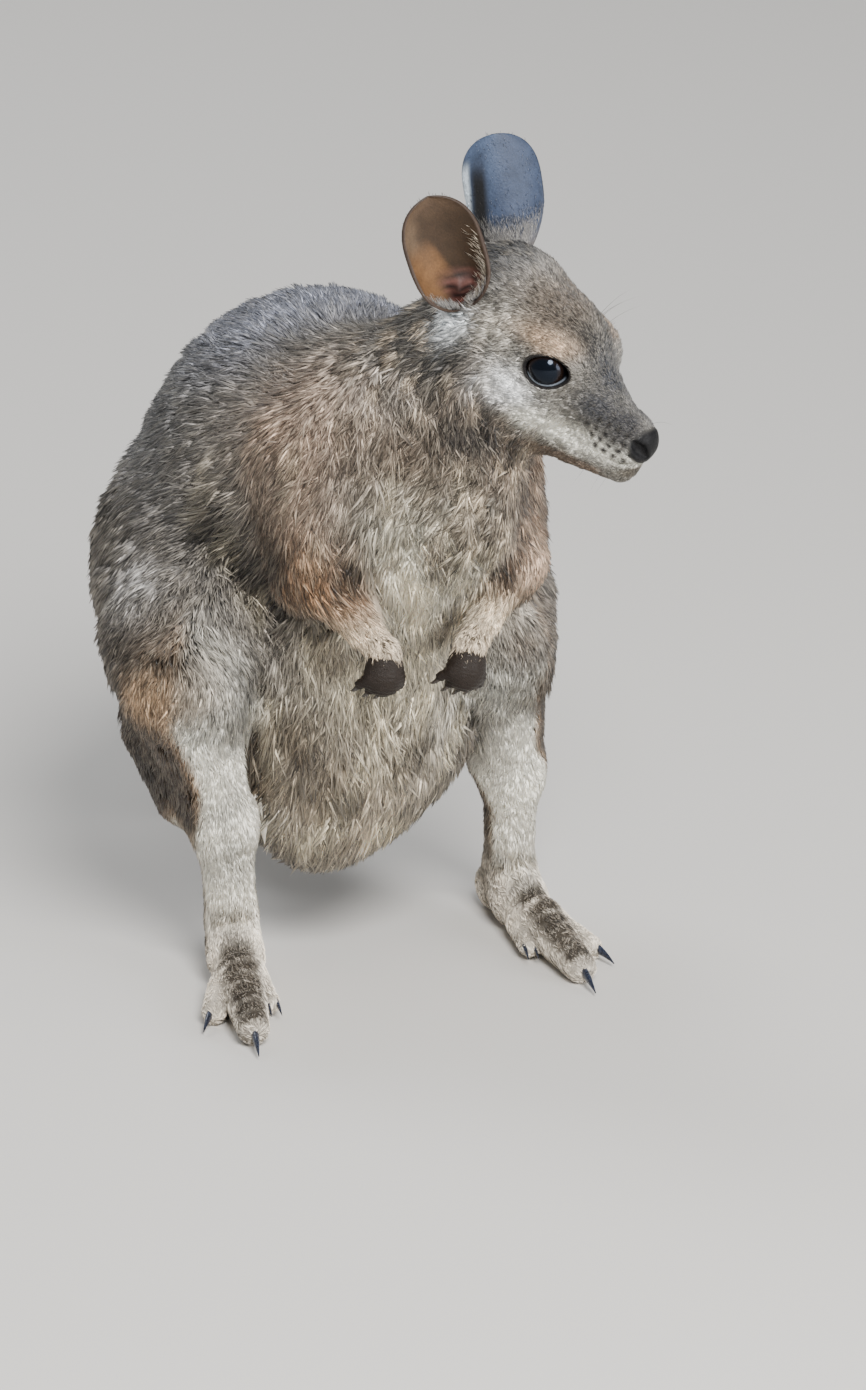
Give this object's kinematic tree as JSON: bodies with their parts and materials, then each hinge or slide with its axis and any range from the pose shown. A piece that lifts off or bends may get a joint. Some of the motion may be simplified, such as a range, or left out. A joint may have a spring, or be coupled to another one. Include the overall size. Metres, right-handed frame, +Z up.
{
  "type": "wallaby",
  "caption": "Life-size still model of a tammar wallaby standing on its hind feet, head turned to its left, forepaws hanging, tail laid on the ground behind it.",
  "frame": {"origin": "on the ground, under the centre of the whole animal's bounding box", "axes": "+Z up, -Y the way the hips and feet face, +X the animal's left; the tail runs towards +Y"},
  "size_m": [0.2808, 0.5442, 0.3687],
  "materials": {
    "coat": "grizzled grey-brown fur",
    "coat_pale": "pale cream-grey fur",
    "coat_tan": "reddish brown fur",
    "coat_dark": "short dark brown fur",
    "ear_skin": "thin, nearly bare skin",
    "nose_skin": "moist bare skin",
    "claw": "polished dark horn",
    "eye": "wet and glossy"
  },
  "bodies": {
    "root": {"head": "coat", "jaw": "coat_pale", "nose_pad": "nose_skin", "eye_right": "eye", "eye_left": "eye", "ear_right": "ear_skin", "ear_left": "ear_skin", "neck": "coat", "chest": "coat", "belly": "coat_pale", "rump": "coat", "tail_root": "coat", "tail_middle": "coat", "tail_end": "coat_dark", "upper_arm_right": "coat_tan", "upper_arm_left": "coat_tan", "forearm_right": "coat_pale", "forearm_left": "coat_pale", "hand_right": "coat_dark", "hand_left": "coat_dark", "finger_claw_right_1": "claw", "finger_claw_right_2": "claw", "finger_claw_right_3": "claw", "finger_claw_right_4": "claw", "finger_claw_right_5": "claw", "finger_claw_left_1": "claw", "finger_claw_left_2": "claw", "finger_claw_left_3": "claw", "finger_claw_left_4": "claw", "finger_claw_left_5": "claw", "thigh_right": "coat_tan", "thigh_left": "coat_tan", "shank_right": "coat_pale", "shank_left": "coat_pale", "foot_right": "coat_dark", "foot_left": "coat_dark", "toe_claw_right_4": "claw", "toe_claw_right_5": "claw", "toe_claw_right_3": "claw", "toe_claw_right_2": "claw", "toe_claw_left_4": "claw", "toe_claw_left_5": "claw", "toe_claw_left_3": "claw", "toe_claw_left_2": "claw"}
  },
  "joints": []
}
